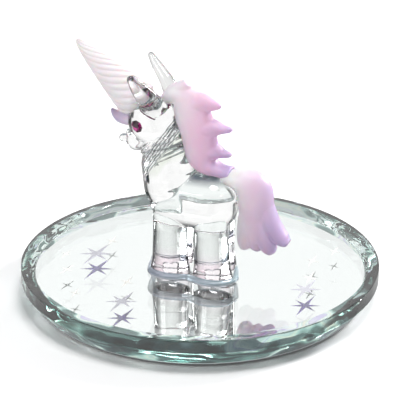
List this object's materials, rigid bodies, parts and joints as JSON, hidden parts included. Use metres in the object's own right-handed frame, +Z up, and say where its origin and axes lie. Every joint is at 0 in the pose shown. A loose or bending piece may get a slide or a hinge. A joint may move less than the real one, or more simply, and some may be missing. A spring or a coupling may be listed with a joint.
{
  "type": "unicorn figurine",
  "caption": "Flame-worked clear glass unicorn with a twisted frosted horn, pink and lilac mane and tail, and crystal eyes, glued to a round bevelled mirror.",
  "frame": {"origin": "middle of the mirror base's resting face, on the table", "axes": "+Z up; the unicorn faces -Y and its left side is +X"},
  "size_m": [0.1016, 0.1016, 0.0735],
  "materials": {
    "plate_glass": "polished, faintly green at the rim",
    "silvering": "mirror",
    "backing_paint": "matt backing paint",
    "bumper": "soft translucent",
    "adhesive": "clear, bluish, smooth",
    "clear_glass": "fire polished",
    "crystal": "cut and polished, fuchsia",
    "frosted_horn_glass": "satin frosted, very pale pink",
    "frosted_lock_glass": "satin frosted, pink shading to lilac"
  },
  "bodies": {
    "root": {"mirror_glass": "plate_glass", "silver_coat": "silvering", "backing_paint": "backing_paint", "foot_pads": "bumper", "glue_bed": "adhesive", "front_leg_left": "clear_glass", "front_leg_right": "clear_glass", "rear_leg_left": "clear_glass", "rear_leg_right": "clear_glass", "torso": "clear_glass", "neck": "clear_glass", "head": "clear_glass", "muzzle": "clear_glass", "nostril_left": "clear_glass", "nostril_right": "clear_glass", "ear_left": "clear_glass", "ear_right": "clear_glass", "eye_left": "crystal", "eye_right": "crystal", "horn": "frosted_horn_glass", "forelock": "frosted_lock_glass", "mane_crest": "frosted_lock_glass", "mane_upper_lock": "frosted_lock_glass", "mane_middle_lock": "frosted_lock_glass", "mane_lower_lock": "frosted_lock_glass", "mane_back_lock": "frosted_lock_glass", "tail_crown": "frosted_lock_glass", "tail_outer_lock": "frosted_lock_glass", "tail_middle_lock": "frosted_lock_glass", "tail_inner_lock": "frosted_lock_glass"}
  },
  "joints": []
}
